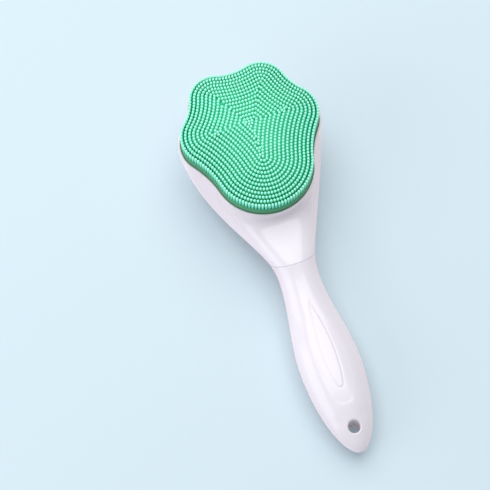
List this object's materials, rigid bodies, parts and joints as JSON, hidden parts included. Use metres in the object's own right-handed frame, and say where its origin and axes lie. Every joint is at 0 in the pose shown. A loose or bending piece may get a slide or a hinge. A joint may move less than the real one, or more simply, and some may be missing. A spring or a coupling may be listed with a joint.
{
  "type": "facial cleansing brush",
  "caption": "Manual facial cleansing brush with a paw-shaped silicone nub pad seated in a white plastic head that plugs into a tapered handle with a hanging hole",
  "frame": {"origin": "middle of the bounding box on the surface that the brush lies on, back down", "axes": "+Y from the handle to the toes of the pad, +Z the way the pad faces, X across, the mirror axis"},
  "size_m": [0.0616, 0.1658, 0.0403],
  "materials": {
    "silicone": "satin",
    "shell_plastic": "gloss",
    "inner_plastic": "matte"
  },
  "bodies": {
    "handle": {"handle_front_shell": "shell_plastic", "handle_back_shell": "shell_plastic"},
    "head": {"head_front_shell": "shell_plastic", "head_back_shell": "shell_plastic", "neck_tenon": "inner_plastic"},
    "pad": {"cleansing_nubs": "silicone", "pad_skirt": "silicone", "pad_carrier": "inner_plastic"}
  },
  "joints": [
    {"name": "head_release", "type": "slide", "parent": "handle", "child": "head", "axis": [0, 0.9903, 0.1392], "range_m": [0, 0.024]},
    {"name": "pad_release", "type": "slide", "parent": "head", "child": "pad", "axis": [0, 0, 1], "range_m": [0, 0.014]}
  ]
}
